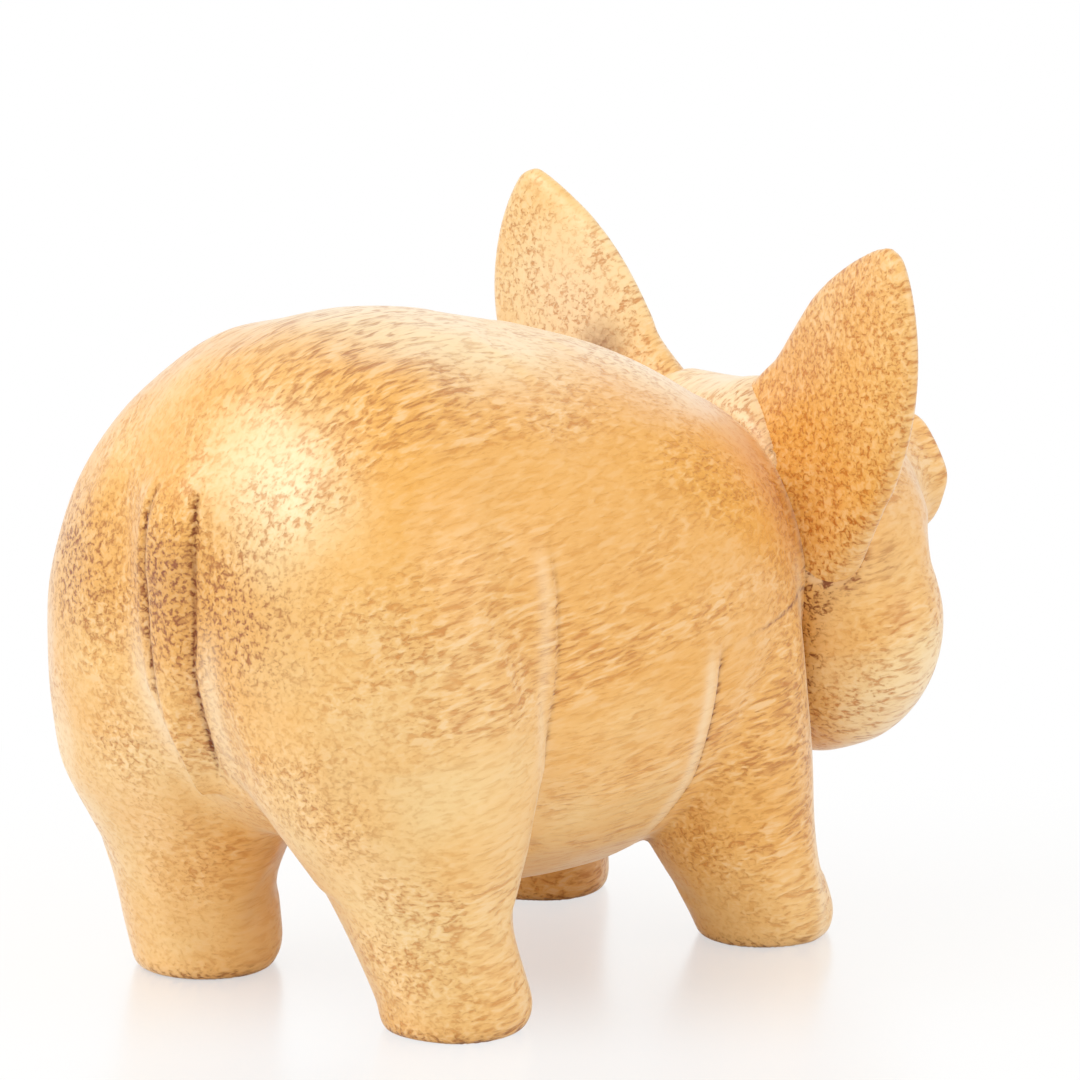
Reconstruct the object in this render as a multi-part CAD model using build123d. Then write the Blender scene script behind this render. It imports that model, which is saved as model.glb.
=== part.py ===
from build123d import *
import math
import os

# A carved wooden pig, standing on four short legs and looking straight ahead.
# The snout points to -Y, the animal's left side is +X and the floor is z = 0.
# Lengths are millimetres. Shares are parts of the size that their comment names.

# Barrel of the body, from the rump to the neck: a loft of upright ovals
rump_reach = 58.4
neck_reach = -29.5
barrel_height = 50.0
barrel_half_width = 32.0
barrel_half_height = 36.0
# (share of the way from rump to neck, centre height, half width, half height)
barrel_shares = [
    (0.0, 1.10, 0.19, 0.19),
    (0.021, 1.09, 0.41, 0.40),
    (0.07, 1.07, 0.625, 0.61),
    (0.15, 1.05, 0.83, 0.79),
    (0.26, 1.023, 0.96, 0.89),
    (0.405, 0.968, 1.0, 0.973),
    (0.57, 0.907, 0.99, 0.969),
    (0.738, 0.865, 0.93, 0.91),
    (0.872, 0.845, 0.81, 0.79),
    (0.96, 0.85, 0.67, 0.665),
    (1.0, 0.85, 0.60, 0.63),
]

# Hind legs, each one form with its haunch, from the flat sole to the top of the rump.
# A step is how far the right foot stands ahead of its place and the left foot behind it.
hind_foot_spread = 20.5
hind_foot_reach = 33.6
hind_step = 1.6
haunch_height = 82.0
haunch_half_width = 20.5
haunch_half_depth = 21.0
# (share of the height, foot's spread, foot's reach, half width, half depth)
haunch_shares = [
    (0.0, 1.0, 1.0, 0.40, 0.40),
    (0.054, 1.0, 1.0, 0.45, 0.45),
    (0.157, 0.94, 1.07, 0.49, 0.49),
    (0.223, 0.90, 1.095, 0.565, 0.58),
    (0.289, 0.86, 1.12, 0.68, 0.71),
    (0.386, 0.76, 1.135, 0.85, 0.87),
    (0.542, 0.62, 1.14, 1.0, 1.0),
    (0.70, 0.56, 1.12, 0.97, 1.0),
    (0.83, 0.50, 1.07, 0.82, 0.88),
    (0.928, 0.43, 1.0, 0.60, 0.66),
    (0.988, 0.38, 0.95, 0.30, 0.36),
]

# Fore legs, each one form with its shoulder, given in the same way
fore_foot_spread = 17.3
fore_foot_reach = -22.4
fore_step = 2.7
shoulder_height = 62.0
shoulder_half_width = 13.5
shoulder_half_depth = 13.8
shoulder_shares = [
    (0.0, 1.0, 0.98, 0.59, 0.60),
    (0.073, 1.0, 0.93, 0.66, 0.67),
    (0.173, 0.97, 0.81, 0.70, 0.74),
    (0.306, 0.90, 0.73, 0.82, 0.87),
    (0.484, 0.83, 0.68, 0.94, 0.97),
    (0.677, 0.74, 0.66, 1.0, 1.0),
    (0.855, 0.62, 0.60, 0.85, 0.88),
    (0.968, 0.50, 0.55, 0.55, 0.60),
]
sole_edge_radius = 1.4

# Tail: a flat strip left standing down the middle of the rump, narrowing to a point
tail_top = 69.0
tail_bottom = 27.0
tail_half_width = 4.2
tail_rise = 2.0
tail_settle = 3.6
# (share of the way from top to bottom, share of the half width)
tail_shares = [(0.0, 0.80), (0.10, 1.0), (0.45, 0.92), (0.70, 0.55), (1.0, 0.06)]

# Head: one swelling from the neck over the cheeks to the round flat snout
head_length = 37.8
head_half_width = 25.5
head_half_height = 23.0
head_height = 42.5
snout_rise = 7.0
# (share of the head's length from the neck, share of the snout's rise,
# share of the half width, share of the half height)
head_shares = [
    (0.0, 0.0, 0.78, 0.97),
    (0.10, 0.0, 0.93, 1.0),
    (0.24, 0.0, 1.0, 1.0),
    (0.46, 0.18, 0.92, 0.87),
    (0.66, 0.55, 0.63, 0.63),
    (0.80, 0.85, 0.40, 0.44),
    (0.90, 0.97, 0.335, 0.37),
    (1.0, 1.0, 0.345, 0.385),
]
snout_edge_radius = 1.3
nostril_radius = 1.5
nostril_spread = 3.3
nostril_depth = 3.0
eye_radius = 1.8
eye_depth = 1.7
eye_angle = 50.0
# How far the eyes' axis leans to the snout, as a slope
eye_tilt = 0.75
# Share of the head's length from the neck: the eyes are drilled at the first row past it
eye_share = 0.60
cheek_spread = 10.0
cheek_forward = 11.8
cheek_drop = 6.0
cheek_half_width = 17.0
cheek_half_depth = 14.0
cheek_half_height = 17.0

# Ears: a broad leaf each, standing across the head just in front of the neck
right_ear_spread = 14.2
left_ear_spread = 17.4
right_ear_height = 53.7
left_ear_height = 54.6
right_ear_lean = 26.8
left_ear_lean = 23.6
# How far the outer edge of each ear is turned back
right_ear_turn = 11.0
left_ear_turn = 7.0
ear_set_forward = 4.0
ear_lean_back = 2.0
ear_length = 38.0
right_ear_half_width = 13.6
left_ear_half_width = 12.4
ear_half_thickness = 3.6
ear_tenon_length = 7.0
ear_tenon_half_width = 8.5
# (share of the ear's length, sideways set, half width and half thickness as shares)
ear_shares = [
    (0.0, -0.01, 0.97, 1.05),
    (0.18, 0.05, 1.03, 1.0),
    (0.38, 0.10, 1.0, 0.92),
    (0.56, 0.11, 0.91, 0.82),
    (0.76, 0.10, 0.67, 0.66),
    (0.91, 0.06, 0.35, 0.46),
    (0.985, 0.02, 0.09, 0.24),
]
# Hollow of the ear, scooped from its front face, in the same shares but for its own depth
ear_rim = 2.6
ear_hollow_depth = 1.9
ear_hollow_shares = [
    (0.16, 0.10, 0.55, 0.35),
    (0.22, 0.11, 0.80, 0.75),
    (0.38, 0.10, 1.0, 1.0),
    (0.56, 0.11, 0.91, 0.92),
    (0.74, 0.10, 0.68, 0.66),
    (0.84, 0.08, 0.40, 0.35),
]
ear_glue_gap = 0.05

# Dowel that pins the head to the body
dowel_radius = 4.0
dowel_length = 26.0
dowel_height = 42.0
dowel_glue_gap = 0.05
dowel_end_gap = 1.0

overrun = 5.0
# How far a union's volume may be from its parts' volumes, of the whole
union_slack_share = 0.001


def oval(centre, normal, across, half_across, half_along):
    """An elliptical face; half_across lies along the given across direction."""
    return Plane(origin=centre, x_dir=across, z_dir=normal) * Ellipse(half_across, half_along)


def barrel(growth=0.0):
    """The body without legs, with a small flat at the rump and a wide one at the neck."""
    length = rump_reach + growth - neck_reach
    sections = []
    for along, up, wide, tall in barrel_shares:
        centre = (0, neck_reach + (1 - along) * length, barrel_height * up)
        half_width = barrel_half_width * wide + growth
        half_height = barrel_half_height * tall + growth
        sections.append(oval(centre, (0, -1, 0), (1, 0, 0), half_width, half_height))
    return loft(sections)


def tail():
    """The strip of the tail, cut from a slightly larger rump."""
    edge = [(tail_half_width * wide, tail_top + down * (tail_bottom - tail_top)) for down, wide in tail_shares]
    mirrored = [(-x, z) for x, z in reversed(edge)]
    outline = Spline(edge) + Line(edge[-1], mirrored[0]) + Spline(mirrored) + Line(mirrored[-1], edge[0])
    strip = extrude(Plane.XZ * make_face(outline), -(rump_reach + overrun))
    return strip & (Pos(0, 0, -tail_settle) * barrel(tail_rise))


def limb(side, seam, shares, height, spread, reach, step, half_width, half_depth):
    """A leg with its haunch or shoulder, lofted from the flat sole upwards.

    The seam of the loft runs down its left side for 1 and its right side for -1.
    """
    sections = []
    for up, out, back, wide, deep in shares:
        centre = (side * out * spread, back * reach + (1 - up) * side * step, up * height)
        sections.append(oval(centre, (0, 0, 1), (seam, 0, 0), half_width * wide, half_depth * deep))
    solid = loft(sections)
    return fillet(solid.edges().group_by(Axis.Z)[0], sole_edge_radius)


def hind_leg(side, seam):
    return limb(
        side,
        seam,
        haunch_shares,
        haunch_height,
        hind_foot_spread,
        hind_foot_reach,
        hind_step,
        haunch_half_width,
        haunch_half_depth,
    )


def fore_leg(side, seam):
    return limb(
        side,
        seam,
        shoulder_shares,
        shoulder_height,
        fore_foot_spread,
        fore_foot_reach,
        fore_step,
        shoulder_half_width,
        shoulder_half_depth,
    )


def head_block():
    """The head and snout as one loft, with the two cheeks swelling out of it."""
    sections = []
    for along, rise, wide, tall in head_shares:
        centre = (0, neck_reach - along * head_length, head_height + rise * snout_rise)
        sections.append(oval(centre, (0, -1, 0), (1, 0, 0), head_half_width * wide, head_half_height * tall))
    block = loft(sections)
    block = fillet(block.edges().group_by(Axis.Y)[0], snout_edge_radius)
    for side in (-1, 1):
        place = Pos(side * cheek_spread, neck_reach - cheek_forward, head_height - cheek_drop)
        block += place * scale(Sphere(1), by=(cheek_half_width, cheek_half_depth, cheek_half_height))
    keep = Pos(0, neck_reach, head_height) * Box(
        2 * head_length, head_length + overrun, 2 * head_length, align=(Align.CENTER, Align.MAX, Align.CENTER)
    )
    return block & keep


def nostril(side):
    place = Pos(side * nostril_spread, neck_reach - head_length, head_height + snout_rise)
    return place * Rot(X=90) * Cylinder(nostril_radius, 2 * nostril_depth)


def eye(side):
    """A shallow drilled eye, square to the oval of the head where it lies."""
    along, rise, wide, tall = next(row for row in head_shares if row[0] > eye_share)
    half_width = head_half_width * wide
    half_height = head_half_height * tall
    turn = math.radians(eye_angle)
    x = side * half_width * math.cos(turn)
    z = head_height + rise * snout_rise + half_height * math.sin(turn)
    square = Vector(side * math.cos(turn) / half_width, 0, math.sin(turn) / half_height).normalized()
    outward = square - Vector(0, eye_tilt, 0)
    spot = Plane(origin=(x, neck_reach - along * head_length, z), z_dir=outward)
    return spot * Cylinder(eye_radius, 2 * eye_depth)


def ear_half_width(side):
    return left_ear_half_width if side > 0 else right_ear_half_width


def ear_stand(side):
    """Where an ear stands: leaning outwards and a little back, each set by hand in its own way."""
    if side > 0:
        spread, height, lean, turn = left_ear_spread, left_ear_height, left_ear_lean, left_ear_turn
    else:
        spread, height, lean, turn = right_ear_spread, right_ear_height, right_ear_lean, right_ear_turn
    stand = Pos(side * spread, neck_reach - ear_set_forward, height)
    return stand * Rot(Y=side * lean) * Rot(X=-ear_lean_back) * Rot(Z=side * turn)


def ear(side, gap=0.0):
    """One ear with its tenon; gap grows it into the shape of its mortise."""
    reach = ear_half_width(side)
    _, aside, _, thick = ear_shares[0]
    tenon_end = (-ear_tenon_length / ear_length, aside, ear_tenon_half_width / reach, thick)
    sections = []
    for along, aside, wide, thick in [tenon_end] + ear_shares:
        centre = (side * aside * reach, 0, along * ear_length)
        sections.append(oval(centre, (0, 0, 1), (1, 0, 0), reach * wide + gap, ear_half_thickness * thick + gap))
    return ear_stand(side) * loft(sections)


def ear_hollow(side):
    """The scoop that hollows the front face of an ear and leaves its rim."""
    reach = ear_half_width(side)
    sections = []
    for along, aside, wide, deep in ear_hollow_shares:
        centre = (side * aside * reach, -ear_half_thickness, along * ear_length)
        sections.append(oval(centre, (0, 0, 1), (1, 0, 0), reach * wide - ear_rim, 2 * ear_hollow_depth * deep))
    return ear_stand(side) * loft(sections)


def carved_ear(side):
    return ear(side) - ear_hollow(side)


def head_room():
    """The space in front of the neck face, above the feet, that the head takes."""
    lowest = head_height - head_half_height - cheek_half_height / 2
    return Pos(0, neck_reach, lowest) * Box(
        4 * head_half_width,
        2 * head_length,
        4 * head_half_height,
        align=(Align.CENTER, Align.MAX, Align.MIN),
    )


def dowel_pin(radius, length):
    return Pos(0, neck_reach, dowel_height) * Rot(X=90) * Cylinder(radius, length)


def joined(body, leg, side):
    """The body with one leg; where the leg's seam spoils the union, it is turned round."""
    for seam in (1, -1):
        limb_solid = leg(side, seam)
        whole = body + limb_solid
        full_volume = body.volume + limb_solid.volume - (body & limb_solid).volume
        if abs(full_volume - whole.volume) < union_slack_share * full_volume:
            break
    return whole


def carved_body():
    body = barrel() + tail()
    for side in (-1, 1):
        body = joined(body, hind_leg, side)
        body = joined(body, fore_leg, side)
    body -= head_room()
    for side in (-1, 1):
        body -= ear(side, ear_glue_gap)
    return body - dowel_pin(dowel_radius + dowel_glue_gap, dowel_length + 2 * dowel_end_gap)


def carved_head():
    head = head_block()
    head -= dowel_pin(dowel_radius + dowel_glue_gap, dowel_length + 2 * dowel_end_gap)
    for side in (-1, 1):
        head -= ear(side, ear_glue_gap)
        head -= nostril(side)
        head -= eye(side)
    return head


pieces = {
    "carved_body": carved_body(),
    "carved_head": carved_head(),
    "right_ear": carved_ear(-1),
    "left_ear": carved_ear(1),
    "neck_dowel": dowel_pin(dowel_radius, dowel_length),
}

# The origin is on the floor, under the middle of the figurine
box = Compound(children=[Part(piece.wrapped) for piece in pieces.values()]).bounding_box()
aside_to_middle = -(box.min.X + box.max.X) / 2
along_to_middle = -(box.min.Y + box.max.Y) / 2
print("moved to the middle by", round(aside_to_middle, 3), round(along_to_middle, 3), "box", box.size)

os.makedirs("parts", exist_ok=True)
for name, piece in pieces.items():
    export_step(Pos(aside_to_middle, along_to_middle, 0) * piece, "parts/" + name + ".step")
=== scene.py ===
import math

import bmesh
import bpy
import numpy as np
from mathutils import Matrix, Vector
from mathutils.bvhtree import BVHTree


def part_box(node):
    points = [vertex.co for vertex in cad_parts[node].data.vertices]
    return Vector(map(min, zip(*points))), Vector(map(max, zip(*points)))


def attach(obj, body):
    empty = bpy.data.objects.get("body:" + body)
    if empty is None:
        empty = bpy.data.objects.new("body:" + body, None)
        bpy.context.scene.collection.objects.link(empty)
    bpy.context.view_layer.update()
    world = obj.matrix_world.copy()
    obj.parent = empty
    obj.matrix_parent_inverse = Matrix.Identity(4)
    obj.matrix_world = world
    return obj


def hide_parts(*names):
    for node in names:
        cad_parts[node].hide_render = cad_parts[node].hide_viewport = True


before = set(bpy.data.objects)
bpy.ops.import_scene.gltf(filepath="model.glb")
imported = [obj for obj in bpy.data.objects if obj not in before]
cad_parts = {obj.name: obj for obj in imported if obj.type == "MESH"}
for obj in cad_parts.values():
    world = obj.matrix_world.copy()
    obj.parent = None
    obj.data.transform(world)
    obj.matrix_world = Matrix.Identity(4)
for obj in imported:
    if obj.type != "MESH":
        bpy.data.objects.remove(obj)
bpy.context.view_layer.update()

MM = 0.001
BOTH_SIDES = (-1, 1)

# The floor point under the seam between head and body, in the plane that halves the animal.
dowel_low, dowel_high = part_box("neck_dowel")
SEAM = Vector(((dowel_low.x + dowel_high.x) / 2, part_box("carved_head")[1].y, 0))


def at(aside, behind, height):
    """A place in millimetres to the animal's left of the seam, behind it and above the floor."""
    return SEAM + Vector((aside, behind, height)) * MM


def add_object(name, data):
    made = bpy.data.objects.new(name, data)
    bpy.context.scene.collection.objects.link(made)
    return made


# Materials are built from terms, which can be added and multiplied.


class Term:
    """A socket of a material that can be used in sums."""

    def __init__(self, graph, socket):
        self.graph = graph
        self.socket = socket

    def _math(self, operation, *inputs):
        return self.graph.node("ShaderNodeMath", {"operation": operation}, inputs)

    def __add__(self, other):
        return self._math("ADD", self, other)

    __radd__ = __add__

    def __sub__(self, other):
        return self._math("SUBTRACT", self, other)

    def __rsub__(self, other):
        return self._math("SUBTRACT", other, self)

    def __mul__(self, other):
        return self._math("MULTIPLY", self, other)

    __rmul__ = __mul__

    def most(self, other):
        return self._math("MAXIMUM", self, other)

    def ramp(self, low, high):
        """0 below low, 1 above high and a soft rise between."""
        settings = {"interpolation_type": "SMOOTHSTEP", "clamp": True}
        values = {"Value": self, "From Min": low, "From Max": high}
        return self.graph.node("ShaderNodeMapRange", settings, values)


class Graph:
    """The nodes of one material or of the world."""

    def __init__(self, tree):
        self.tree = tree
        tree.nodes.clear()

    def node(self, kind, settings, sockets, out=0):
        """Adds a node, sets it up, fills its sockets and returns one of its outputs, if it has any."""
        made = self.tree.nodes.new(kind)
        for name, value in settings.items():
            setattr(made, name, value)
        pairs = sockets.items() if isinstance(sockets, dict) else enumerate(sockets)
        for key, value in pairs:
            if isinstance(value, Term):
                self.tree.links.new(value.socket, made.inputs[key])
            else:
                made.inputs[key].default_value = value
        return Term(self, made.outputs[out]) if made.outputs else None

    def mix_colour(self, share, first, second):
        return self.node("ShaderNodeMix", {"data_type": "RGBA"}, {0: share, 6: first, 7: second}, out=2)

    def stretched(self, place, along_grain):
        """The same place for a pattern that is drawn out along the grain by a scale below 1."""
        return self.node("ShaderNodeMapping", {}, {"Vector": place, "Scale": (1, along_grain, 1)})

    def noise(self, place, scale, detail=2.0, roughness=0.5, distortion=0.0):
        values = {"Vector": place, "Scale": scale, "Detail": detail}
        values |= {"Roughness": roughness, "Distortion": distortion}
        return self.node("ShaderNodeTexNoise", {}, values)

    def near(self, place, centre, reach):
        """1 at a place in the piece, falling softly to 0 at its reach."""
        away = self.node("ShaderNodeVectorMath", {"operation": "DISTANCE"}, [place, centre], out=1)
        return 1 - away.ramp(0.0, reach)

    def near_any(self, place, spots):
        """How strongly a list of spots shows in all."""
        return sum(self.near(place, centre, reach) * amount for centre, reach, amount in spots)


def new_material(name):
    """A material and its empty graph."""
    material = bpy.data.materials.new(name)
    material.use_nodes = True
    return material, Graph(material.node_tree)


def linear(red, green, blue):
    """A colour as it is seen on a screen, from 0 to 255, made ready for a node."""
    levels = [level / 255 for level in (red, green, blue)]
    return (*[v / 12.92 if v <= 0.04045 else ((v + 0.055) / 1.055) ** 2.4 for v in levels], 1.0)


# The wood, pale honey to orange tan, with brown pores.

PALE_HONEY = linear(245, 209, 142)
ORANGE_TAN = linear(238, 173, 68)
PORE_BROWN = linear(196, 112, 0)
DEEP_BROWN = linear(146, 74, 4)
# CREVICE_BROWN paints shade into hollows, cuts and crevices and also colours the knots. CREAM paints
# highlights and the pale cells of the grain.
CREVICE_BROWN = linear(124, 60, 10)
CREAM = linear(253, 227, 186)

# The grain runs from tail to snout and rises a little towards the head.
GRAIN_RISE = math.radians(7)

# The pores, and how far they and the slow bands of tone are drawn out along the grain.
PORE_WIDTH = 0.74 * MM
PORE_ALONG = 1 / 5.5
BAND_ALONG = 0.22

# The upper edge of one year's growth, with its waves, the step of tone over it and its dark line.
LAYER_HEIGHT = 41.3 * MM
LAYER_WAVE = 3 * MM
LAYER_FADE = 2 * MM
LINE_BELOW = 0.5 * MM
LINE_ABOVE = 0.6 * MM

# How often each slow pattern repeats in a metre.
TONE_BANDS = 38
TONE_CLOUDS = 75
MARK_BANDS = 80
SMUDGES = 130

# How deep the surface's own roughness is.
RELIEF_DEPTH = 0.16 * MM


class Grain:
    """What the grain shows in each place of the plank.

    Its tone runs from pale to orange, and its edge line is the dark upper edge of one year's growth. The
    speck and fine patterns break up the marks, which are the brown pores, and the lights, which are the
    pale cells between them. The strength says how clearly the marks show.
    """

    def __init__(self, graph, plank, evenness):
        fibres = graph.stretched(plank, PORE_ALONG)
        bands = graph.stretched(plank, BAND_ALONG)

        # Slow changes of tone, and the edge of one year's growth.
        drift = graph.noise(bands, TONE_BANDS, detail=3, roughness=0.55)
        cloud = graph.noise(plank, TONE_CLOUDS, detail=3)
        height = graph.node("ShaderNodeSeparateXYZ", {}, [plank], out="Z")
        above_edge = height - LAYER_HEIGHT + (drift - 0.5) * LAYER_WAVE
        upper_layer = above_edge.ramp(-LAYER_FADE, LAYER_FADE)
        self.tone = drift * 0.9 + cloud * 0.5 + upper_layer * 0.10
        self.edge_line = above_edge.ramp(-LINE_BELOW, 0.0) * (1 - above_edge.ramp(0.0, LINE_ABOVE))

        # The pores: small brown gaps between pale cells on end grain, dashes along the grain.
        self.speck = graph.noise(fibres, 0.95 / PORE_WIDTH, distortion=0.5)
        self.fine = graph.noise(fibres, 2.2 / PORE_WIDTH, roughness=0.6)
        border = graph.node(
            "ShaderNodeTexVoronoi", {"feature": "DISTANCE_TO_EDGE"},
            {"Vector": fibres, "Scale": 1 / PORE_WIDTH, "Randomness": 1.0},
        )
        gaps = 1 - border.ramp(0.02, 0.28)
        self.strength = graph.noise(bands, MARK_BANDS).ramp(0.38, 0.64).most(evenness)
        self.marks = (self.speck * 0.7 + self.fine * 0.3).ramp(0.46, 0.62) * (0.35 + gaps * 0.65)
        self.lights = 1 - (self.speck * 0.8 + self.fine * 0.2).ramp(0.34, 0.48)


def spot(aside, behind, height, reach, amount):
    """A spot on the wood: its place and reach in millimetres, and how strong it is in the middle."""
    return at(aside, behind, height), reach * MM, amount


def paired_spots(aside, behind, height, reach, amount):
    """The same spot on the right and on the left of the animal."""
    return [spot(side * aside, behind, height, reach, amount) for side in BOTH_SIDES]


def stained(graph, place, base, spots, stain, colour):
    """Darkens spots of the wood, as far as the stain soaks into each part of the grain."""
    for centre, reach, amount in spots:
        base = graph.mix_colour(graph.near(place, centre, reach) * stain * amount, base, colour)
    return base


def wood(
    name, plank_place, tone_shift, mark_gain, evenness=0.0,
    dark=(), warm=(), pale=(), knots=(), splits=(),
):
    """Waxed wood, cut from its own place in the plank, with lists of its spots.

    The tone shift makes it more orange, the mark gain makes its pores darker, and its evenness is the least
    strength that the pores have anywhere.
    """
    material, graph = new_material(name)
    place = graph.node("ShaderNodeTexCoord", {}, {}, out="Object")
    plank = graph.node(
        "ShaderNodeMapping", {},
        {"Vector": place, "Location": plank_place, "Rotation": (GRAIN_RISE, 0, 0)},
    )
    grain = Grain(graph, plank, evenness)

    # The pale spots are painted highlights: they lighten the tone and mix in cream.
    painted_highlight = graph.near_any(place, pale)
    tone = grain.tone + tone_shift + graph.near_any(place, warm) - painted_highlight
    base = graph.mix_colour(tone.ramp(0.35, 1.1), PALE_HONEY, ORANGE_TAN)
    base = graph.mix_colour(painted_highlight * 0.6, base, CREAM)
    base = graph.mix_colour(grain.lights * (0.12 + grain.strength * 0.25), base, CREAM)
    base = graph.mix_colour(grain.marks * (0.18 + grain.strength * 0.5) * mark_gain, base, PORE_BROWN)
    opened = grain.strength * 0.15 + 0.05 + graph.near_any(place, splits)
    base = graph.mix_colour(grain.edge_line * opened * (0.5 + grain.marks), base, DEEP_BROWN)
    base = stained(graph, place, base, dark, 0.14 + grain.marks * 0.9, DEEP_BROWN)
    base = stained(graph, place, base, knots, 0.2 + grain.speck * 1.1, CREVICE_BROWN)

    # Painted shade darkens the hollows, cuts and crevices, and painted highlights make the crests and bands
    # pale.
    hollow, crest, line, band = [
        graph.node("ShaderNodeAttribute", {"attribute_name": mark}, {}, out="Fac")
        for mark in ("hollow", "crest", "line", "band")
    ]
    painted_shade = hollow * (0.15 + grain.speck * 0.8) + line * (0.15 + grain.marks * 0.8)
    base = graph.mix_colour((crest * 0.35).most(band * 0.6), base, CREAM)
    base = graph.mix_colour(painted_shade, base, CREVICE_BROWN)

    smudge = graph.noise(plank, SMUDGES, detail=3)
    roughness = 0.38 + smudge * 0.16 + grain.marks * 0.12 + hollow * 0.25 - crest * 0.05
    wax = 0.7 - grain.marks * 0.3 - painted_shade * 0.6
    relief = grain.fine * 0.25 + smudge * 0.3 - grain.marks * (0.5 + grain.strength * 0.6)
    bump = graph.node("ShaderNodeBump", {}, {"Strength": 0.75, "Distance": RELIEF_DEPTH, "Height": relief})
    shader = graph.node(
        "ShaderNodeBsdfPrincipled", {},
        {
            "Base Color": base, "Roughness": roughness, "Normal": bump, "IOR": 1.46,
            "Coat Weight": wax, "Coat Roughness": 0.36, "Coat IOR": 1.75,
            "Sheen Weight": 0.4, "Sheen Roughness": 0.35,
        },
    )
    graph.node("ShaderNodeOutputMaterial", {}, {"Surface": shader})
    return material


# Carving: a fine mesh of each CAD piece, rounded, faceted and scored by moving its points.

BODY_CELL = 0.46 * MM
HEAD_CELL = 0.44 * MM
EAR_CELL = 0.42 * MM
WELD = 0.002 * MM

# How often a surface is evened out to take off its corners, to measure its bend and to spread a swelling.
BLOCK_PASSES = 7
EAR_PASSES = 10
BEND_PASSES = 7
SWELL_PASSES = 8

# The strokes of the knife: how many places are tried for them, and how often the middles, the slopes and
# the cut are evened out.
STROKE_TRIES = 6000
MIDDLE_PASSES = 12
SLOPE_PASSES = 17
STROKE_PASSES = 13

# The strokes on each piece: how far apart they are, how flat they leave the wood and how deep they go.
BODY_STROKES = {"spacing": 11 * MM, "flatness": 0.6, "limit": 0.22 * MM}
HEAD_STROKES = {"spacing": 9 * MM, "flatness": 0.5, "limit": 0.18 * MM}
EAR_STROKES = {"spacing": 8 * MM, "flatness": 0.5, "limit": 0.15 * MM}

# The bends of each piece that count as a full hollow, painted in full shade, or a full crest, painted in
# full highlight, and the share of them at which the marks begin.
BODY_BENDS = {"deep": 0.16 * MM, "high": 0.22 * MM}
HEAD_BENDS = {"deep": 0.13 * MM, "high": 0.3 * MM}
EAR_BENDS = {"deep": 0.13 * MM, "high": 0.45 * MM}
MARK_START_SHARE = 0.25


class Carving:
    """The points of a piece while it is being carved."""

    def __init__(self, piece):
        self.mesh = piece.data
        self.count = len(self.mesh.vertices)
        self.at = np.empty(self.count * 3)
        self.mesh.vertices.foreach_get("co", self.at)
        self.at = self.at.reshape(-1, 3)
        ends = np.empty(len(self.mesh.edges) * 2, np.int64)
        self.mesh.edges.foreach_get("vertices", ends)
        self.one, self.other = ends[0::2], ends[1::2]
        self.neighbours = np.bincount(ends, minlength=self.count).astype(float)

    def spread(self, values):
        """Each point's value as the mean of its neighbours'."""
        columns = values.reshape(self.count, -1)
        mean = np.empty_like(columns)
        for number, column in enumerate(columns.T):
            total = np.bincount(self.one, column[self.other], self.count)
            total += np.bincount(self.other, column[self.one], self.count)
            mean[:, number] = total / self.neighbours
        return mean.reshape(values.shape)

    def spread_often(self, values, passes):
        for _ in range(passes):
            values = 0.5 * values + 0.5 * self.spread(values)
        return values

    def smooth(self, passes, share=1.0):
        """Rounds the surface off, all over or as far as share says for each point."""
        weight = np.broadcast_to(share, self.count)[:, None]
        for _ in range(passes):
            self.at += (self.spread(self.at) - self.at) * 0.5 * weight

    def places(self):
        """How far each point is to the left of the seam, behind it and above the floor."""
        return (self.at - np.array(SEAM)).T

    def normals(self):
        """Moves the mesh to the carved points and returns the way out of the surface in each of them."""
        self.mesh.vertices.foreach_set("co", self.at.astype(np.float32).ravel())
        self.mesh.update()
        ways = np.empty(self.count * 3, np.float32)
        self.mesh.vertex_normals.foreach_get("vector", ways)
        return ways.reshape(-1, 3).astype(float)

    def push(self, amounts):
        """Moves each point outwards by its amount."""
        self.at += self.normals() * amounts[:, None]

    def mark(self, name, values):
        """Stores a share for each point, for the wood to show."""
        layer = self.mesh.attributes.new(name, "FLOAT", "POINT")
        layer.data.foreach_set("value", np.clip(values, 0, 1).astype(np.float32))

    def finish(self, deep, high):
        """Marks the hollows of the carved piece for painted shade and its crests for painted highlight, in
        full where they are this deep or high.
        """
        inside = self.spread_often(self.at, BEND_PASSES) - self.at
        bend = np.einsum("ij,ij->i", inside, self.normals())
        self.mark("hollow", soft_step(bend, MARK_START_SHARE * deep, deep))
        self.mark("crest", soft_step(-bend, MARK_START_SHARE * high, high))


def soft_step(values, low, high):
    """0 below low, 1 above high and a soft rise between."""
    share = np.clip((values - low) / (high - low), 0, 1)
    return share * share * (3 - 2 * share)


def bell(values, middle, width):
    """1 in the middle, falling softly away to both sides."""
    return np.exp(-(((values - middle) / width) ** 2))


def surface_of(piece):
    return BVHTree.FromObject(piece, bpy.context.evaluated_depsgraph_get())


def near_share(points, surface, reach):
    """1 where a point lies on or inside a closed surface, falling to 0 at the reach outside it."""
    shares = np.zeros(len(points))
    for index, point in enumerate(points):
        near, normal, _, gap = surface.find_nearest(Vector(point), reach)
        if near is not None:
            inside = (Vector(point) - near).dot(normal) < 0
            shares[index] = 1.0 if inside else (1 - gap / reach) ** 2
    return shares


def swell_to(carving, surface, reach, amount):
    """Lets a piece swell towards its neighbour, so that they meet in a hollow and not at a sharp corner."""
    swell = carving.spread_often(near_share(carving.at, surface, reach), SWELL_PASSES)
    carving.push(swell * amount)


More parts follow.
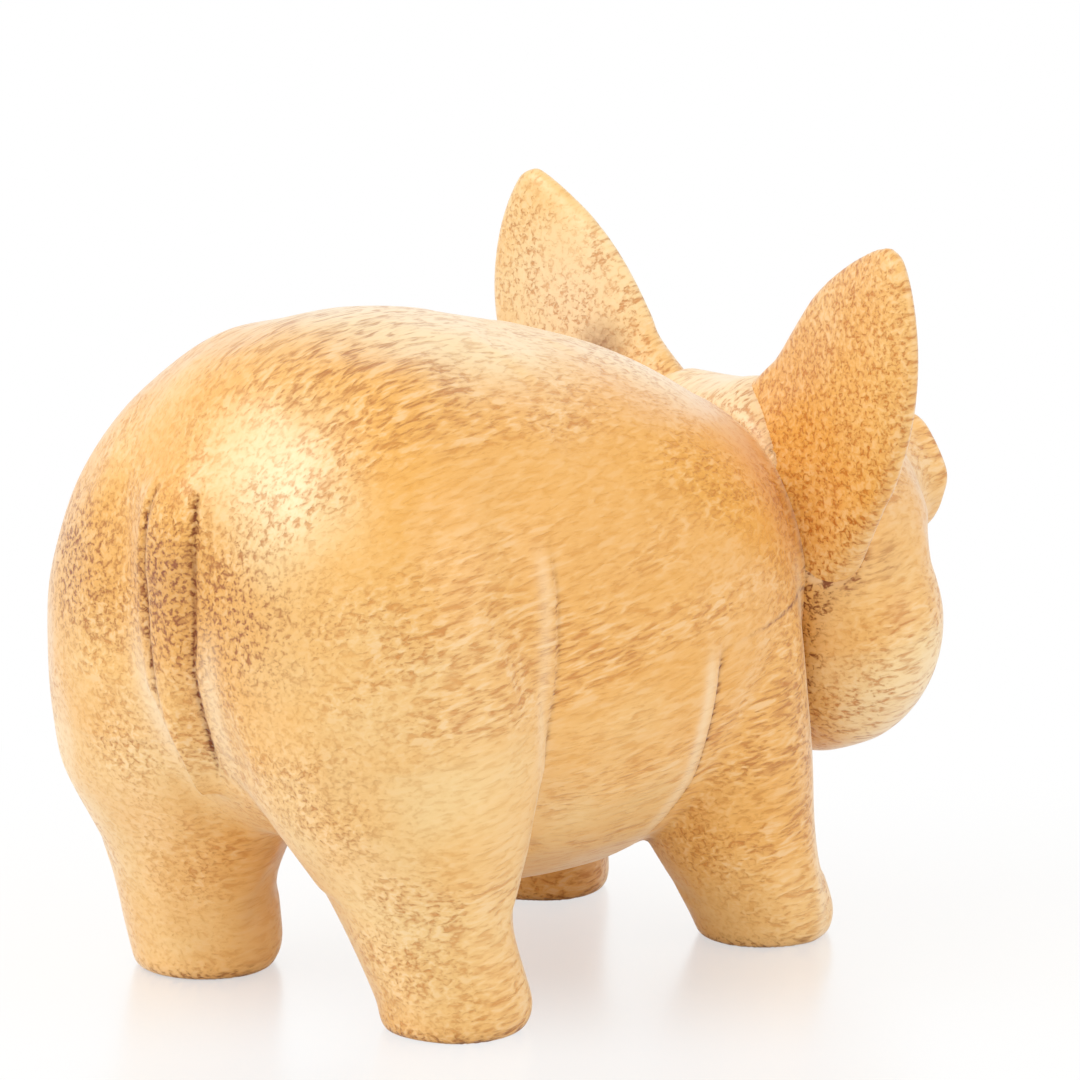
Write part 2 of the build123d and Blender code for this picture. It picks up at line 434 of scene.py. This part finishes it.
def cut_facets(carving, spacing, flatness, limit, seed, share=1.0):
    """Leaves the broad flat strokes of a knife, as deep as share says for each point."""
    normals = carving.normals()
    gap = np.full(carving.count, np.inf)
    nearest = np.zeros(carving.count, np.int64)
    chosen = []
    for index in np.random.default_rng(seed).permutation(carving.count)[:STROKE_TRIES]:
        if gap[index] < spacing:
            continue
        away = np.linalg.norm(carving.at - carving.at[index], axis=1)
        nearest[away < gap] = len(chosen)
        gap = np.minimum(gap, away)
        chosen.append(index)
    middles = carving.spread_often(carving.at, MIDDLE_PASSES)[chosen]
    slopes = carving.spread_often(normals, SLOPE_PASSES)[chosen]
    slopes /= np.linalg.norm(slopes, axis=1)[:, None]
    depth = np.einsum("ij,ij->i", middles[nearest] - carving.at, slopes[nearest])
    cut = carving.spread_often(np.clip(depth * flatness, -limit, limit) * share, STROKE_PASSES)
    carving.at += normals * cut[:, None]


def fine_copy(node, name, cell):
    """A copy of a CAD piece with small even faces."""
    piece = add_object(name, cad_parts[node].data.copy())
    piece.data.materials.clear()
    shell = bmesh.new()
    shell.from_mesh(piece.data)
    bmesh.ops.remove_doubles(shell, verts=shell.verts, dist=WELD)
    shell.to_mesh(piece.data)
    shell.free()
    cells = piece.modifiers.new("cells", "REMESH")
    cells.mode = "VOXEL"
    cells.voxel_size = cell
    cells.use_smooth_shade = True
    bpy.context.view_layer.update()
    shaped = bpy.data.meshes.new_from_object(piece.evaluated_get(bpy.context.evaluated_depsgraph_get()))
    piece.modifiers.clear()
    piece.data = shaped
    shaped.name = name
    return piece


def dress(piece, node, material):
    """Gives a carved piece its wood and puts it in the place of its CAD node."""
    piece.data.materials.append(material)
    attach(piece, "root")
    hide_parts(node)


# The ears: thin leaves that swell into the head.

EAR_FOOT_REACH = 9 * MM
EAR_FOOT_SWELL = 1.6 * MM


def carve_ear(node, material, seed):
    """Carves one ear and returns its surface, for the pieces that meet it."""
    piece = fine_copy(node, node + "_leaf", EAR_CELL)
    carving = Carving(piece)
    carving.smooth(EAR_PASSES)
    swell_to(carving, surface_of(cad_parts["carved_head"]), EAR_FOOT_REACH, EAR_FOOT_SWELL)
    cut_facets(carving, **EAR_STROKES, seed=seed)
    carving.finish(**EAR_BENDS)
    dress(piece, node, material)
    return surface_of(piece)


def right_ear_wood():
    return wood("right_ear_wood", (0.07, -0.03, 0.05), tone_shift=0.1, mark_gain=1.5, evenness=0.7)


def left_ear_wood():
    # The pale spot is a painted highlight where the ear faces the lamp. The knot is the wood's own.
    return wood(
        "left_ear_wood", (-0.09, 0.04, 0.06), tone_shift=-0.1, mark_gain=1.1,
        pale=[spot(23, 0, 74, 14, 0.9)], knots=[spot(18, -1.5, 68, 5.5, 0.8)],
    )


# The head: one block with the jowls, which swells to the ears, where the knife spares it, and has painted
# shade in the crevice against the body and at the feet of the ears.

EAR_FOOT_CLEAR = 10 * MM
EAR_FOOT_SPARED = 3
HEAD_SWELL_REACH = 8 * MM
HEAD_SWELL = 1.8 * MM
EAR_SEAM_REACH = 1.6 * MM
CREVICE_REACH = 4.5 * MM
CREVICE_BEHIND = (-1.8 * MM, 0.1 * MM)
CREVICE_TOP = (46 * MM, 51 * MM)


def carve_head(ear_surfaces):
    piece = fine_copy("carved_head", "head_block", HEAD_CELL)
    carving = Carving(piece)
    carving.smooth(BLOCK_PASSES)
    beside_ears = sum(near_share(carving.at, ear, EAR_FOOT_CLEAR) for ear in ear_surfaces)
    touched = 1 - np.clip(EAR_FOOT_SPARED * beside_ears, 0, 1)
    cut_facets(carving, **HEAD_STROKES, seed=5, share=touched)
    seams = np.zeros(carving.count)
    for ear in ear_surfaces:
        swell_to(carving, ear, HEAD_SWELL_REACH, HEAD_SWELL)
        seams += near_share(carving.at, ear, EAR_SEAM_REACH)
    crevice = near_share(carving.at, surface_of(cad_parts["carved_body"]), CREVICE_REACH)
    carving.finish(**HEAD_BENDS)
    _, behind, height = carving.places()
    # These shares are painted shade: the seams at the ears, the crevice against the body and the wood at
    # the seam with the body are darkened, fading out above the crevice top.
    crevice += soft_step(behind, *CREVICE_BEHIND)
    carving.mark("line", (seams + crevice) * (1 - soft_step(height, *CREVICE_TOP)))
    dress(piece, "carved_head", head_wood())


def head_wood():
    # The dark spots at the feet of the ears are painted shade in the crevice there.
    dark = [*paired_spots(24.5, -2, 45.5, 5, 0.9), *paired_spots(24, -8, 46.5, 4.5, 0.7)]
    # The pale spots on the crown and jowls are painted highlights.
    pale = [spot(0, -3, 66, 18, 1.0), *paired_spots(24, -14, 27, 14, 0.7)]
    return wood("head_wood", (0.031, 0.02, 0.0105), tone_shift=0.05, mark_gain=1.2, dark=dark, pale=pale)


# The body's stretches, each with the two places between which it fades in or out, counted from the floor
# up, from the seam back or from the middle out.

BACK_HEIGHT = (48 * MM, 60 * MM)
RUMP_END = (76 * MM, 82 * MM)
HAUNCH_ASIDE = (6 * MM, 10 * MM)
SHOULDER_HEIGHT = (20 * MM, 30 * MM)
SHOULDER_END = (26 * MM, 32 * MM)
RIM_END = (2 * MM, 4 * MM)
TAIL_BEHIND = (66 * MM, 72 * MM)
TAIL_ASIDE = (7 * MM, 10 * MM)
TAIL_HEIGHT = (15 * MM, 21 * MM)
EAR_FOOT_HEIGHT = (46 * MM, 52 * MM)

# How often each of the body's stretches is evened out, and how far the shoulder is spared from facets.
BACK_PASSES = 60
TAIL_PASSES = 110
RIM_PASSES = 14
SHOULDER_SPARED = 0.85

# The rim at the neck: its pale edge, the pale band behind it below the ears and its pale meeting with the
# ears, which are painted highlights, and its dark lip of painted shade.
RIM_EDGE = (0.6 * MM, 2.4 * MM)
RIM_BAND_MIDDLE = 3.3 * MM
RIM_BAND_WIDTH = 1.1 * MM
RIM_BAND_PALENESS = 0.8
RIM_LIP = (0.9 * MM, 2.1 * MM)
RIM_LIP_HEIGHT = (20 * MM, 24 * MM)
RIM_SWELL_REACH = 4 * MM
RIM_SWELL = 0.7 * MM
RIM_HIGHLIGHT_REACH = 2.5 * MM

# Painted contact shade round the soles.
SOLE_SHADE_HEIGHT = (0.4 * MM, 2.2 * MM)
SOLE_SHADE_DARKNESS = 0.8

# The lines down each flank, from the top down in millimetres behind the seam and above the floor. With
# each goes how far the wood before it is let down and the wood behind it stands proud, and how strongly
# its cut is painted with shade and the band behind it with a highlight.
# The animal walks, so the lines of its left side stand further back.
WALKING_STEP = 1.6
FLANK_LINES = [
    ([(57, 61), (57.2, 38), (55, 20)], 0.2 * MM, 0.25 * MM, 0.6),
    ([(27.8, 44), (27.6, 32), (27.2, 25), (28.5, 17)], 0.6 * MM, 0.2 * MM, 1.0),
]
FACING_OUT_SHARES = (0.15, 0.45)
FLANK_SLOPE = (-0.8 * MM, 0.5 * MM)
FLANK_RISE_RUN = 4 * MM
FLANK_DROP_RUN = 6 * MM
FLANK_CUT_BEFORE = 0.2 * MM
FLANK_CUT_WIDTH = 0.55 * MM
FLANK_BAND_BEHIND = 1.6 * MM
FLANK_BAND_WIDTH = 1.2 * MM
FLANK_FOOT_FADE = (-3 * MM, 3 * MM)
FLANK_TOP_FADE = (-6 * MM, 1 * MM)

# The tail, flat on the rump, narrows down to its tip between two cuts and the rims of the haunches.
TAIL_MIDDLE = -1.2 * MM
TAIL_TOP = 67 * MM
TAIL_BOTTOM = 26 * MM
TAIL_HALF_WIDTH = 3.9 * MM
TAIL_DOWN_SHARES = [0, 0.1, 0.45, 0.7, 1]
TAIL_WIDTH_SHARES = [0.8, 1, 0.92, 0.6, 0.1]
TAIL_CUT_START_SHARES = (-0.05, 0.06)
TAIL_CUT_END_SHARES = (0.72, 0.95)
TAIL_CUT_WIDTH = 0.5 * MM
TAIL_CUT_DEPTH = 0.3 * MM
HAUNCH_RIM_HEIGHT = 0.45 * MM
HAUNCH_RIM_RUN = 3 * MM
HAUNCH_RIM_START = 1.2 * MM
# The bands beside the tail where the haunch rims are painted as highlights: where they begin down the tail,
# how far aside and how wide.
HAUNCH_BAND_START_SHARES = (0.3, 0.6)
HAUNCH_BAND_ASIDE = 2.5 * MM
HAUNCH_BAND_WIDTH = 1.9 * MM
RUMP_START = (68 * MM, 74 * MM)


def score_flank(carving, side, path, front_drop, rear_rise):
    """Scores a line down one flank: the wood before it is let down and the wood behind it stands proud.

    Returns the shares of the cut, painted with shade, and of the band behind it, painted as a highlight, in
    each point.
    """
    outward = soft_step(side * carving.normals()[:, 0], *FACING_OUT_SHARES)
    _, behind, height = carving.places()
    behinds, heights = (np.array(path[::-1]) + (side * WALKING_STEP, 0)).T * MM
    behind = behind - np.interp(height, heights, behinds)
    rear = soft_step(behind, *FLANK_SLOPE)
    rise = rear * rear_rise * np.exp(-np.abs(behind) / FLANK_RISE_RUN)
    rise -= (1 - rear) * front_drop * np.exp(-np.abs(behind) / FLANK_DROP_RUN)
    cut = bell(behind, -front_drop - FLANK_CUT_BEFORE, FLANK_CUT_WIDTH)
    band = bell(behind, FLANK_BAND_BEHIND, FLANK_BAND_WIDTH)
    fade = soft_step(height - heights[0], *FLANK_FOOT_FADE) * outward
    fade *= 1 - soft_step(height - heights[-1], *FLANK_TOP_FADE)
    carving.push(rise * fade)
    return cut * fade, band * fade


def score_tail(carving):
    """Cuts the two lines that leave the tail standing, with the rims of the haunches proud beside them.

    Returns the shares of the cuts, painted with shade, and of the rims, painted as highlights, in each
    point.
    """
    aside, behind, height = carving.places()
    down = (TAIL_TOP - height) / (TAIL_TOP - TAIL_BOTTOM)
    half_width = TAIL_HALF_WIDTH * np.interp(down, TAIL_DOWN_SHARES, TAIL_WIDTH_SHARES)
    beside = np.abs(aside - TAIL_MIDDLE) - half_width
    cut = bell(beside, 0, TAIL_CUT_WIDTH)
    rim = HAUNCH_RIM_HEIGHT * np.exp(-np.abs(beside) / HAUNCH_RIM_RUN)
    rim *= soft_step(beside, 0, HAUNCH_RIM_START)
    fade = soft_step(down, *TAIL_CUT_START_SHARES) * (1 - soft_step(down, *TAIL_CUT_END_SHARES))
    fade *= soft_step(behind, *RUMP_START)
    band = bell(beside, HAUNCH_BAND_ASIDE, HAUNCH_BAND_WIDTH) * soft_step(down, *HAUNCH_BAND_START_SHARES)
    carving.push((rim - cut * TAIL_CUT_DEPTH) * fade)
    return cut * fade, band * fade


def carve_body(ear_surfaces):
    piece = fine_copy("carved_body", "body_block", BODY_CELL)
    carving = Carving(piece)
    carving.smooth(BLOCK_PASSES)
    aside, behind, height = carving.places()
    off_middle = np.abs(aside)
    beside_tail = np.maximum(soft_step(off_middle, *HAUNCH_ASIDE), 1 - soft_step(behind, *RUMP_END))
    back = soft_step(height, *BACK_HEIGHT) * beside_tail
    shoulder = soft_step(height, *SHOULDER_HEIGHT) * (1 - soft_step(behind, *SHOULDER_END))
    rim = 1 - soft_step(behind, *RIM_END)
    tail = soft_step(behind, *TAIL_BEHIND) * (1 - soft_step(off_middle, *TAIL_ASIDE))
    tail *= soft_step(height, *TAIL_HEIGHT)
    # Painted highlight on the rim's edge above the feet of the ears, and on a band behind the edge below
    # them.
    rim_edge = 1 - soft_step(behind, *RIM_EDGE)
    rim_band = RIM_BAND_PALENESS * bell(behind, RIM_BAND_MIDDLE, RIM_BAND_WIDTH)
    rim_highlight = rim_edge + (rim_band - rim_edge) * (1 - soft_step(height, *EAR_FOOT_HEIGHT))

    carving.smooth(BACK_PASSES, np.maximum(back, shoulder * (1 - rim)))
    carving.smooth(TAIL_PASSES, tail)
    carving.smooth(RIM_PASSES, rim)
    touched = 1 - SHOULDER_SPARED * shoulder
    cut_facets(carving, **BODY_STROKES, seed=3, share=touched)
    for ear in ear_surfaces:
        swell_to(carving, ear, RIM_SWELL_REACH, RIM_SWELL)
        rim_highlight = np.maximum(rim_highlight, near_share(carving.at, ear, RIM_HIGHLIGHT_REACH))
    lines, bands = score_tail(carving)
    for side in BOTH_SIDES:
        for path, front_drop, rear_rise, darkness in FLANK_LINES:
            cut, band = score_flank(carving, side, path, front_drop, rear_rise)
            lines += darkness * cut
            bands += darkness * band

    # The soles are flat on the floor, with painted contact shade above them, and the rim has a dark lip of
    # painted shade below the ears.
    carving.at[:, 2] = np.maximum(carving.at[:, 2], 0)
    _, behind, height = carving.places()
    lines = np.maximum(lines, SOLE_SHADE_DARKNESS * (1 - soft_step(height, *SOLE_SHADE_HEIGHT)))
    painted_lip_shade = (1 - soft_step(behind, *RIM_LIP)) * soft_step(height, *RIM_LIP_HEIGHT)
    lines = np.maximum(lines, painted_lip_shade * (1 - soft_step(height, *EAR_FOOT_HEIGHT)))
    carving.finish(**BODY_BENDS)
    carving.mark("line", lines)
    carving.mark("band", np.maximum(bands, rim_highlight))
    dress(piece, "carved_body", body_wood())


def body_wood():
    dark = [
        spot(-1, 91, 58, 9, 1.2),
        spot(-1, 90, 51, 12, 0.9),
        spot(-12, 86, 53, 15, 1.0),
        spot(16, 86, 55, 14, 1.1),
        spot(-8, 66, 80, 24, 0.5),
        spot(-20, 78, 32, 14, 0.35),
        *paired_spots(19, 8, 26, 20, 0.5),
    ]
    warm = [
        *paired_spots(26, 30, 60, 40, 0.6),
        spot(-19, 66, 66, 26, 0.4),
        spot(0, 91, 56, 18, 0.4),
        *paired_spots(28, 8, 44, 18, 0.5),
        *paired_spots(22, 10, 20, 20, 0.5),
    ]
    # The pale spots on the neck, back, rump and haunches are painted highlights.
    pale = [
        spot(-24, 76, 42, 24, 0.1),
        spot(-14, 82, 68, 15, 0.4),
        spot(-3, 17, 75, 24, 0.9),
        spot(-2, 48, 84, 28, 0.9),
        spot(26, 74, 36, 26, 0.2),
    ]
    return wood(
        "body_wood", (0, 0, 0), tone_shift=0.06, mark_gain=1.0,
        dark=dark, warm=warm, pale=pale, splits=paired_spots(26, 4, 46, 22, 0.8),
    )


# The dowel keeps its CAD mesh.


def dress_dowel():
    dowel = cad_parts["neck_dowel"]
    dowel.data.materials.clear()
    dowel.data.materials.append(wood("dowel_wood", (0.2, 0.1, 0.1), tone_shift=-0.15, mark_gain=1.0))


# The camera of the photograph: where it stands, what it looks at and how it frames it. Its distance is in
# metres, and its lens and sensor are in millimetres.

CAMERA_AZIMUTH = math.radians(226.0)
CAMERA_ELEVATION = math.radians(13.5)
CAMERA_DISTANCE = 1.0
CAMERA_TARGET = at(0, 29.5, 45)
SENSOR_WIDTH = 36.0
LENS = 271.1
SHIFT_RIGHT = 0.0130
SHIFT_UP = 0.0454

TO_CAMERA = Vector((
    math.sin(CAMERA_AZIMUTH) * math.cos(CAMERA_ELEVATION),
    -math.cos(CAMERA_AZIMUTH) * math.cos(CAMERA_ELEVATION),
    math.sin(CAMERA_ELEVATION),
))
RIGHT = Vector((math.cos(CAMERA_AZIMUTH), math.sin(CAMERA_AZIMUTH), 0))
UP = TO_CAMERA.cross(RIGHT)


def place_camera():
    camera = add_object("camera", bpy.data.cameras.new("camera"))
    camera.data.sensor_width = SENSOR_WIDTH
    camera.data.lens = LENS
    camera.data.shift_x = SHIFT_RIGHT
    camera.data.shift_y = SHIFT_UP
    camera.location = CAMERA_TARGET + TO_CAMERA * CAMERA_DISTANCE
    camera.rotation_euler = (-TO_CAMERA).to_track_quat("-Z", "Y").to_euler()
    bpy.context.scene.camera = camera


# The stage: a white table, white surroundings and two soft lamps.

WHITE = (1, 1, 1, 1)
TABLE_WHITE = linear(252, 250, 247)
TABLE_RADIUS = 3.0
TABLE_SIDES = 64

# The table's own glow, which lets it run into the white around it: under the figurine, and what is added
# behind and before it, with the stretch of the table over which each begins.
GLOW_UNDER = 0.56
GLOW_BEHIND = 0.44
GLOW_BEFORE = 0.27
BEHIND_STRETCH = (-0.02, 0.09)
BEFORE_STRETCH = (-0.055, -0.012)

# The light from all sides, and the two lamps, with their sizes and distances in metres.
AMBIENT = 0.84
KEY_WAY = RIGHT * -0.58 + UP * 0.68 + TO_CAMERA * 0.44
KEY_WATTS = 2.2
KEY_SIZE = 0.46
KEY_DISTANCE = 0.75
FILL_WAY = RIGHT * 0.9 + UP * 0.25 + TO_CAMERA * 0.45
FILL_WATTS = 0.95
FILL_SIZE = 0.5
FILL_DISTANCE = 0.8


def table_white():
    material, graph = new_material("white_table")
    place = graph.node("ShaderNodeTexCoord", {}, {}, out="Object")
    ahead = tuple(-TO_CAMERA)
    away = graph.node("ShaderNodeVectorMath", {"operation": "DOT_PRODUCT"}, [place, ahead], out=1)
    table = graph.node(
        "ShaderNodeBsdfPrincipled", {},
        {"Base Color": TABLE_WHITE, "Metallic": 0.65, "Roughness": 0.24, "IOR": 1.6},
    )
    glow = graph.node("ShaderNodeEmission", {}, {"Color": WHITE, "Strength": 1.0})
    seen = graph.node("ShaderNodeLightPath", {}, {}, out="Is Camera Ray")
    behind = away.ramp(*BEHIND_STRETCH) * GLOW_BEHIND
    before = (1 - away.ramp(*BEFORE_STRETCH)) * GLOW_BEFORE
    share = (GLOW_UNDER + behind + before) * seen
    shader = graph.node("ShaderNodeMixShader", {}, [share, table, glow])
    graph.node("ShaderNodeOutputMaterial", {}, {"Surface": shader})
    return material


def lay_table():
    mesh = bpy.data.meshes.new("floor")
    turns = [2 * math.pi * side / TABLE_SIDES for side in range(TABLE_SIDES)]
    rim = [(TABLE_RADIUS * math.cos(turn), TABLE_RADIUS * math.sin(turn), 0) for turn in turns]
    mesh.from_pydata(rim, [], [list(range(TABLE_SIDES))])
    mesh.materials.append(table_white())
    add_object("floor", mesh)


def light_world():
    world = bpy.data.worlds.new("studio")
    bpy.context.scene.world = world
    world.use_nodes = True
    graph = Graph(world.node_tree)
    direct, mirrored, through = [
        graph.node("ShaderNodeLightPath", {}, {}, out=way)
        for way in ("Is Camera Ray", "Is Glossy Ray", "Is Transmission Ray")
    ]
    shown = direct.most(mirrored).most(through)
    around = graph.node("ShaderNodeBackground", {}, {"Color": WHITE, "Strength": AMBIENT})
    backdrop = graph.node("ShaderNodeBackground", {}, {"Color": WHITE, "Strength": 1.0})
    both = graph.node("ShaderNodeMixShader", {}, [shown, around, backdrop])
    graph.node("ShaderNodeOutputWorld", {}, {"Surface": both})


def hang_lamp(name, way, distance, size, watts):
    lamp = add_object(name, bpy.data.lights.new(name, "AREA"))
    lamp.data.shape = "SQUARE"
    lamp.data.size = size
    lamp.data.energy = watts
    lamp.location = CAMERA_TARGET + way.normalized() * distance
    lamp.rotation_euler = way.to_track_quat("Z", "Y").to_euler()


place_camera()
lay_table()
light_world()
hang_lamp("key_lamp", KEY_WAY, KEY_DISTANCE, KEY_SIZE, KEY_WATTS)
hang_lamp("fill_lamp", FILL_WAY, FILL_DISTANCE, FILL_SIZE, FILL_WATTS)
bpy.context.scene.view_settings.view_transform = "Standard"

ear_surfaces = [
    carve_ear("right_ear", right_ear_wood(), seed=7),
    carve_ear("left_ear", left_ear_wood(), seed=8),
]
carve_head(ear_surfaces)
carve_body(ear_surfaces)
dress_dowel()
